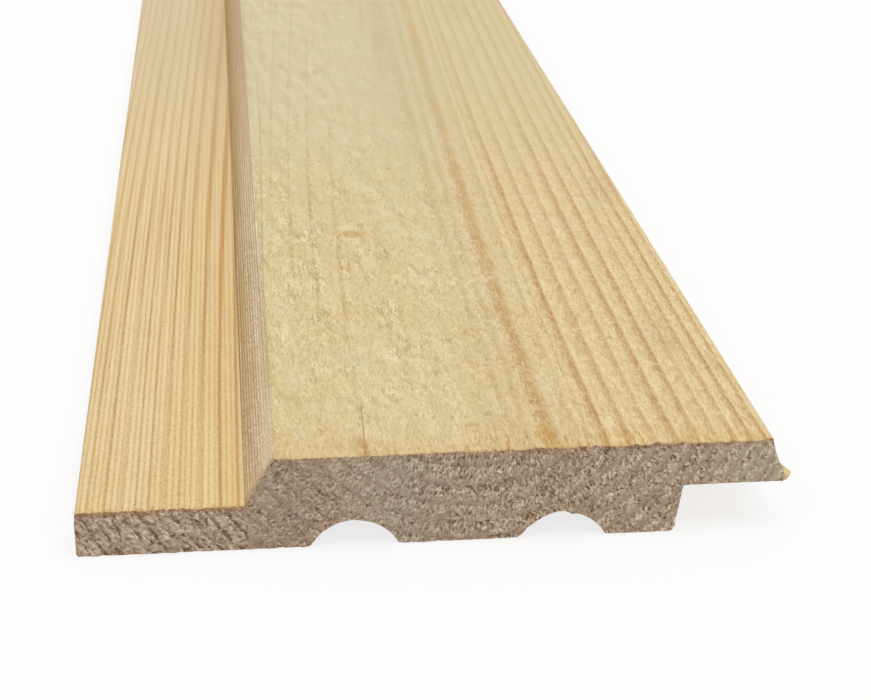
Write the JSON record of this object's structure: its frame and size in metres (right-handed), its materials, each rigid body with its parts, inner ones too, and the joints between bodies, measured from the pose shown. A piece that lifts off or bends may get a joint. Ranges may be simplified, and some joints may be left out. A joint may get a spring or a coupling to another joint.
{
  "type": "channel siding board",
  "caption": "Softwood channel siding board lying face up: a thin lip under a sloping channel wall on one edge, a bevelled lap over a rabbet on the other, and round relief grooves in the back.",
  "frame": {"origin": "on the back plane, at the middle of the board's width and of its length", "axes": "+X across the width from the lip to the lap, +Y along the length away from the pictured end, +Z from the back to the face"},
  "size_m": [0.1366, 2.4384, 0.019],
  "materials": {
    "bare_softwood": "unfinished, with a rough sawn face and planed lip, edges and back"
  },
  "bodies": {
    "root": {"siding_board": "bare_softwood"}
  },
  "joints": []
}
